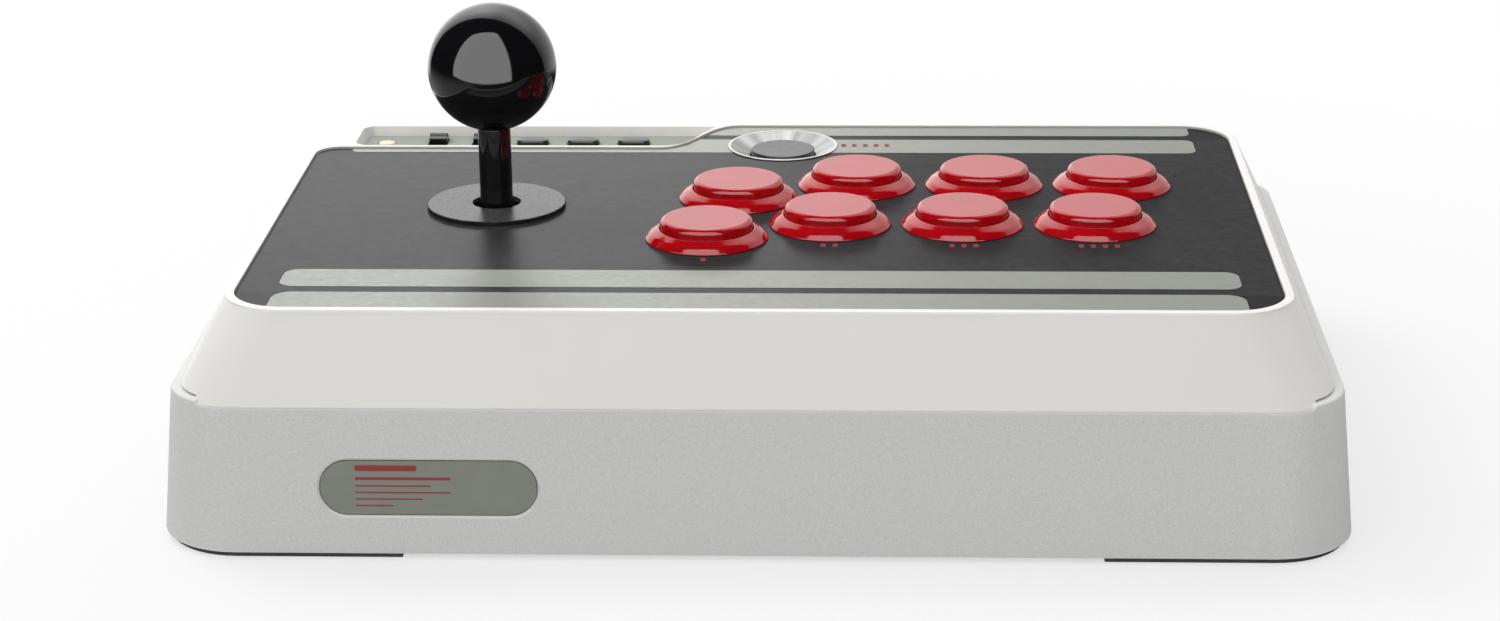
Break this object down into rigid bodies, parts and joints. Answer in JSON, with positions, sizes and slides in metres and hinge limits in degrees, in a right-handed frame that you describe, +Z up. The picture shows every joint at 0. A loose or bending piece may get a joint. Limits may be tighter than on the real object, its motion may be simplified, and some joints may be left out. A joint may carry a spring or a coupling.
{
  "type": "arcade joystick panel",
  "caption": "Tabletop arcade control panel: a ball-top lever, round push buttons, a start button and a recessed strip of small switches on a tapered two-part case.",
  "frame": {"origin": "middle of the footprint, on the table, under the rubber feet", "axes": "+X to the player's right along the longest side, +Y away from the player, +Z up"},
  "size_m": [0.303, 0.21, 0.1141],
  "materials": {
    "silver_plastic": "satin silver-grey plastic with a fine metallic speckle",
    "ivory_plastic": "satin ivory plastic",
    "panel_plastic": "satin dark grey plastic, with two grey-green bands at the front and rear",
    "grey_green_plastic": "matt grey-green plastic",
    "red_plastic": "polished red plastic",
    "black_gloss": "polished black plastic",
    "black_plastic": "fine-grained black plastic",
    "rubber": "matt",
    "steel": "plain rolled or turned steel",
    "start_metal": "turned aluminium with a bright edge",
    "cap_plastic": "matt mid grey plastic",
    "board": "green solder resist",
    "battery_wrap": "grey shrink wrap",
    "lens_plastic": "clear warm-tinted indicator window"
  },
  "bodies": {
    "case": {"base_shell": "silver_plastic", "top_shell": "ivory_plastic", "control_panel": "panel_plastic", "function_panel": "grey_green_plastic", "nameplate": "grey_green_plastic", "button_body_front_1": "red_plastic", "button_body_front_2": "red_plastic", "button_body_front_3": "red_plastic", "button_body_front_4": "red_plastic", "button_body_rear_1": "red_plastic", "button_body_rear_2": "red_plastic", "button_body_rear_3": "red_plastic", "button_body_rear_4": "red_plastic", "bottom_plate": "black_plastic", "dust_washer": "black_plastic", "lever_housing": "black_plastic", "restrictor_gate": "black_plastic", "start_switch": "black_plastic", "button_switch_front_1": "black_plastic", "button_switch_front_2": "black_plastic", "button_switch_front_3": "black_plastic", "button_switch_front_4": "black_plastic", "button_switch_rear_1": "black_plastic", "button_switch_rear_2": "black_plastic", "button_switch_rear_3": "black_plastic", "button_switch_rear_4": "black_plastic", "foot_front_left": "rubber", "foot_front_right": "rubber", "foot_rear_left": "rubber", "foot_rear_right": "rubber", "mounting_plate": "steel", "case_screw_1": "steel", "case_screw_2": "steel", "case_screw_3": "steel", "case_screw_4": "steel", "start_bezel": "start_metal", "main_board": "board", "stick_switch_board": "board", "battery_pack": "battery_wrap", "indicator_lens": "lens_plastic"},
    "lever_cradle": {"pivot_bushing": "ivory_plastic"},
    "lever": {"ball_top": "black_gloss", "shaft_cover": "black_gloss", "stick_shaft": "steel", "centring_spring": "steel", "actuator": "ivory_plastic"},
    "plunger_front_1": {"button_plunger_front_1": "red_plastic"},
    "plunger_front_2": {"button_plunger_front_2": "red_plastic"},
    "plunger_front_3": {"button_plunger_front_3": "red_plastic"},
    "plunger_front_4": {"button_plunger_front_4": "red_plastic"},
    "plunger_rear_1": {"button_plunger_rear_1": "red_plastic"},
    "plunger_rear_2": {"button_plunger_rear_2": "red_plastic"},
    "plunger_rear_3": {"button_plunger_rear_3": "red_plastic"},
    "plunger_rear_4": {"button_plunger_rear_4": "red_plastic"},
    "start_cap": {"start_cap": "cap_plastic"},
    "slide_switch_1": {"slide_switch_1": "black_plastic"},
    "slide_switch_2": {"slide_switch_2": "black_plastic"},
    "function_button_1": {"function_button_1": "black_plastic"},
    "function_button_2": {"function_button_2": "black_plastic"},
    "function_button_3": {"function_button_3": "black_plastic"}
  },
  "joints": [
    {"name": "lever_fore_aft", "type": "hinge", "parent": "case", "child": "lever_cradle", "pos_m": [-0.0757, 0.016, 0.0472], "axis": [1, 0, 0], "range_deg": [-7.5, 7.5], "stiffness_Nm_per_rad": 0.4},
    {"name": "lever_left_right", "type": "hinge", "parent": "lever_cradle", "child": "lever", "pos_m": [-0.0757, 0.016, 0.0472], "axis": [0, 1, 0], "range_deg": [-7.5, 7.5], "stiffness_Nm_per_rad": 0.4},
    {"name": "press_front_1", "type": "slide", "parent": "case", "child": "plunger_front_1", "axis": [0, 0, -1], "range_m": [0, 0.0022], "stiffness_N_per_m": 120, "springref_m": -0.002},
    {"name": "press_front_2", "type": "slide", "parent": "case", "child": "plunger_front_2", "axis": [0, 0, -1], "range_m": [0, 0.0022], "stiffness_N_per_m": 120, "springref_m": -0.002},
    {"name": "press_front_3", "type": "slide", "parent": "case", "child": "plunger_front_3", "axis": [0, 0, -1], "range_m": [0, 0.0022], "stiffness_N_per_m": 120, "springref_m": -0.002},
    {"name": "press_front_4", "type": "slide", "parent": "case", "child": "plunger_front_4", "axis": [0, 0, -1], "range_m": [0, 0.0022], "stiffness_N_per_m": 120, "springref_m": -0.002},
    {"name": "press_rear_1", "type": "slide", "parent": "case", "child": "plunger_rear_1", "axis": [0, 0, -1], "range_m": [0, 0.0022], "stiffness_N_per_m": 120, "springref_m": -0.002},
    {"name": "press_rear_2", "type": "slide", "parent": "case", "child": "plunger_rear_2", "axis": [0, 0, -1], "range_m": [0, 0.0022], "stiffness_N_per_m": 120, "springref_m": -0.002},
    {"name": "press_rear_3", "type": "slide", "parent": "case", "child": "plunger_rear_3", "axis": [0, 0, -1], "range_m": [0, 0.0022], "stiffness_N_per_m": 120, "springref_m": -0.002},
    {"name": "press_rear_4", "type": "slide", "parent": "case", "child": "plunger_rear_4", "axis": [0, 0, -1], "range_m": [0, 0.0022], "stiffness_N_per_m": 120, "springref_m": -0.002},
    {"name": "press_start", "type": "slide", "parent": "case", "child": "start_cap", "axis": [0, 0, -1], "range_m": [0, 0.0012], "stiffness_N_per_m": 120, "springref_m": -0.002},
    {"name": "slide_1", "type": "slide", "parent": "case", "child": "slide_switch_1", "axis": [0, -1, 0], "range_m": [0, 0.0044]},
    {"name": "slide_2", "type": "slide", "parent": "case", "child": "slide_switch_2", "axis": [0, -1, 0], "range_m": [0, 0.0044]},
    {"name": "press_function_1", "type": "slide", "parent": "case", "child": "function_button_1", "axis": [0, 0, -1], "range_m": [0, 0.0008], "stiffness_N_per_m": 60, "springref_m": -0.001},
    {"name": "press_function_2", "type": "slide", "parent": "case", "child": "function_button_2", "axis": [0, 0, -1], "range_m": [0, 0.0008], "stiffness_N_per_m": 60, "springref_m": -0.001},
    {"name": "press_function_3", "type": "slide", "parent": "case", "child": "function_button_3", "axis": [0, 0, -1], "range_m": [0, 0.0008], "stiffness_N_per_m": 60, "springref_m": -0.001}
  ]
}
